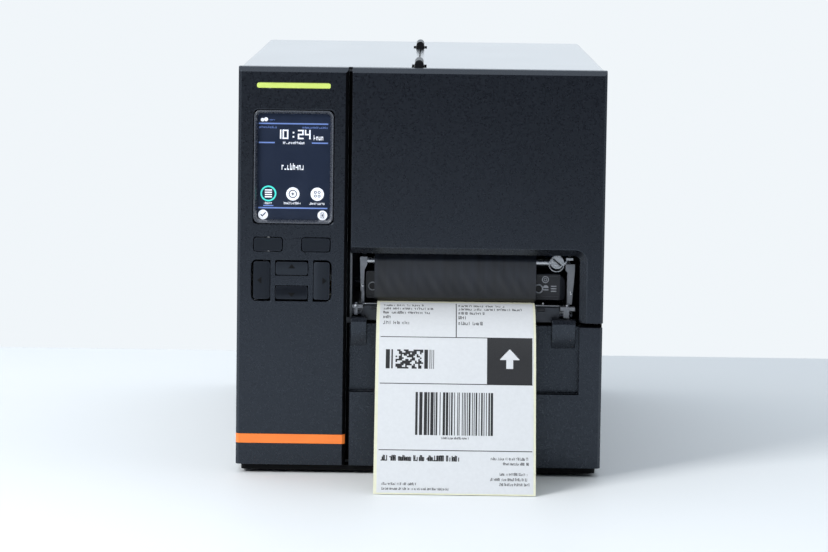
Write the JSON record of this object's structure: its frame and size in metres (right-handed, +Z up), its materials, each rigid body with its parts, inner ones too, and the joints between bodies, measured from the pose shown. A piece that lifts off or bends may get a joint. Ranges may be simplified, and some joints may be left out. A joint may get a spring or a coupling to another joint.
{
  "type": "label printer",
  "caption": "Desktop thermal-transfer label printer with a side control panel, hinged media cover, print mechanism and label stock, a printed label hanging from its slot.",
  "frame": {"origin": "on the table, under the middle of the box that holds the printer and the label hanging in front of it", "axes": "+Z up, the front faces -Y, +X to the right as seen from the front"},
  "size_m": [0.248, 0.516, 0.2812],
  "materials": {
    "body_plastic": "fine matte texture",
    "key_plastic": "satin",
    "skin_metal": "fine powder coat",
    "base_metal": "satin",
    "foot_rubber": "matte",
    "stripe_orange": "satin",
    "light_green": "lit",
    "display_glass": "polished",
    "window_smoke": "polished",
    "hinge_black": "satin",
    "cast_metal": "as cast",
    "bright_steel": "brushed",
    "black_plastic": "satin",
    "inlet_black": "satin",
    "touch_blue": "satin",
    "platen_rubber": "ground",
    "gear_white": "satin",
    "gear_brass": "machined",
    "motor_black": "satin",
    "board_green": "lacquered",
    "supply_steel": "plated",
    "ribbon_film": "waxy film",
    "label_paper": "coated"
  },
  "bodies": {
    "frame": {"base_pan": "base_metal", "foot_front_left": "foot_rubber", "foot_front_right": "foot_rubber", "foot_rear_left": "foot_rubber", "foot_rear_right": "foot_rubber", "left_housing": "skin_metal", "front_bezel": "body_plastic", "orange_stripe": "stripe_orange", "status_light": "light_green", "display_panel": "display_glass", "centre_wall": "cast_metal", "rear_panel": "skin_metal", "lower_front": "body_plastic", "lower_side_panel": "skin_metal", "power_inlet": "inlet_black", "main_board": "board_green", "power_supply": "supply_steel", "drive_motor": "motor_black", "platen_bed": "cast_metal", "side_plate_left": "bright_steel", "side_plate_right": "bright_steel", "tear_bar": "bright_steel", "ribbon_guide_rod": "bright_steel", "ribbon_rear_rod": "bright_steel", "ribbon_web": "ribbon_film", "label_web": "label_paper", "media_guide_rod": "bright_steel", "media_spindle": "black_plastic", "hinge_fixed_front": "hinge_black", "hinge_fixed_rear": "hinge_black"},
    "media_cover": {"cover_shell": "skin_metal", "cover_front": "body_plastic", "cover_window": "window_smoke", "hinge_cover_front": "hinge_black", "hinge_cover_rear": "hinge_black"},
    "print_head": {"head_carrier": "black_plastic", "thermal_head": "cast_metal", "head_cap_right": "black_plastic"},
    "knob_left": {"pressure_knob_left": "touch_blue"},
    "knob_right": {"pressure_knob_right": "touch_blue"},
    "head_lever": {"head_lever": "touch_blue"},
    "platen": {"platen_rubber": "platen_rubber", "platen_shaft": "bright_steel", "platen_gear": "gear_white"},
    "motor_shaft": {"motor_pinion": "gear_brass"},
    "supply_reel": {"supply_spindle": "black_plastic", "ribbon_supply_roll": "ribbon_film"},
    "rewind_reel": {"rewind_spindle": "black_plastic", "ribbon_rewind_roll": "ribbon_film"},
    "label_roll": {"label_roll": "label_paper"},
    "roll_guard": {"roll_guard": "black_plastic"},
    "media_guide": {"media_guide": "black_plastic"},
    "damper": {"damper_arm": "black_plastic"},
    "power_rocker": {"power_rocker": "inlet_black"},
    "soft_key_left": {"soft_key_left": "key_plastic"},
    "soft_key_right": {"soft_key_right": "key_plastic"},
    "key_left": {"key_left": "key_plastic"},
    "key_right": {"key_right": "key_plastic"},
    "key_up": {"key_up": "key_plastic"},
    "key_down": {"key_down": "key_plastic"}
  },
  "joints": [
    {"name": "cover_hinge", "type": "hinge", "parent": "frame", "child": "media_cover", "pos_m": [-0.0028, 0, 0.2782], "axis": [0, -1, 0], "range_deg": [0, 150]},
    {"name": "head_tilt", "type": "hinge", "parent": "frame", "child": "print_head", "pos_m": [0.024, -0.1, 0.132], "axis": [-1, 0, 0], "range_deg": [0, 5.5]},
    {"name": "head_lever_turn", "type": "hinge", "parent": "frame", "child": "head_lever", "pos_m": [0.0915, -0.118, 0.152], "axis": [1, 0, 0], "range_deg": [0, 55]},
    {"name": "knob_left_turn", "type": "hinge", "parent": "print_head", "child": "knob_left", "pos_m": [-0.022, -0.13, 0.143], "axis": [0, 0, 1], "range_deg": [0, 270]},
    {"name": "knob_right_turn", "type": "hinge", "parent": "print_head", "child": "knob_right", "pos_m": [0.07, -0.13, 0.143], "axis": [0, 0, 1], "range_deg": [0, 270]},
    {"name": "platen_turn", "type": "hinge", "parent": "frame", "child": "platen", "pos_m": [0.024, -0.154, 0.1077], "axis": [1, 0, 0], "continuous": true},
    {"name": "motor_turn", "type": "hinge", "parent": "frame", "child": "motor_shaft", "pos_m": [-0.059, -0.1368, 0.11975], "axis": [1, 0, 0], "continuous": true},
    {"name": "supply_turn", "type": "hinge", "parent": "frame", "child": "supply_reel", "pos_m": [0.024, 0.052, 0.205], "axis": [1, 0, 0], "continuous": true},
    {"name": "rewind_turn", "type": "hinge", "parent": "frame", "child": "rewind_reel", "pos_m": [0.024, -0.078, 0.205], "axis": [1, 0, 0], "continuous": true},
    {"name": "roll_turn", "type": "hinge", "parent": "frame", "child": "label_roll", "pos_m": [0.024, 0.14, 0.112], "axis": [1, 0, 0], "continuous": true},
    {"name": "guard_slide", "type": "slide", "parent": "frame", "child": "roll_guard", "axis": [1, 0, 0], "range_m": [0, 0.016]},
    {"name": "guide_slide", "type": "slide", "parent": "frame", "child": "media_guide", "axis": [1, 0, 0], "range_m": [0, 0.012]},
    {"name": "damper_swing", "type": "hinge", "parent": "frame", "child": "damper", "pos_m": [0, 0.007, 0.15], "axis": [1, 0, 0], "range_deg": [0, 25], "stiffness_Nm_per_rad": 0.6},
    {"name": "rocker_tip", "type": "hinge", "parent": "frame", "child": "power_rocker", "pos_m": [-0.087, 0.2505, 0.059], "axis": [1, 0, 0], "range_deg": [0, 16]},
    {"name": "soft_key_left_press", "type": "slide", "parent": "frame", "child": "soft_key_left", "axis": [0, 1, 0], "range_m": [0, 0.001], "stiffness_N_per_m": 400},
    {"name": "soft_key_right_press", "type": "slide", "parent": "frame", "child": "soft_key_right", "axis": [0, 1, 0], "range_m": [0, 0.001], "stiffness_N_per_m": 400},
    {"name": "key_left_press", "type": "slide", "parent": "frame", "child": "key_left", "axis": [0, 1, 0], "range_m": [0, 0.001], "stiffness_N_per_m": 400},
    {"name": "key_right_press", "type": "slide", "parent": "frame", "child": "key_right", "axis": [0, 1, 0], "range_m": [0, 0.001], "stiffness_N_per_m": 400},
    {"name": "key_up_press", "type": "slide", "parent": "frame", "child": "key_up", "axis": [0, 1, 0], "range_m": [0, 0.001], "stiffness_N_per_m": 400},
    {"name": "key_down_press", "type": "slide", "parent": "frame", "child": "key_down", "axis": [0, 1, 0], "range_m": [0, 0.001], "stiffness_N_per_m": 400}
  ],
  "couplings": [
    {"joint": "head_lever_turn", "follows": "head_tilt", "ratio": 10},
    {"joint": "motor_turn", "follows": "platen_turn", "ratio": -2}
  ]
}
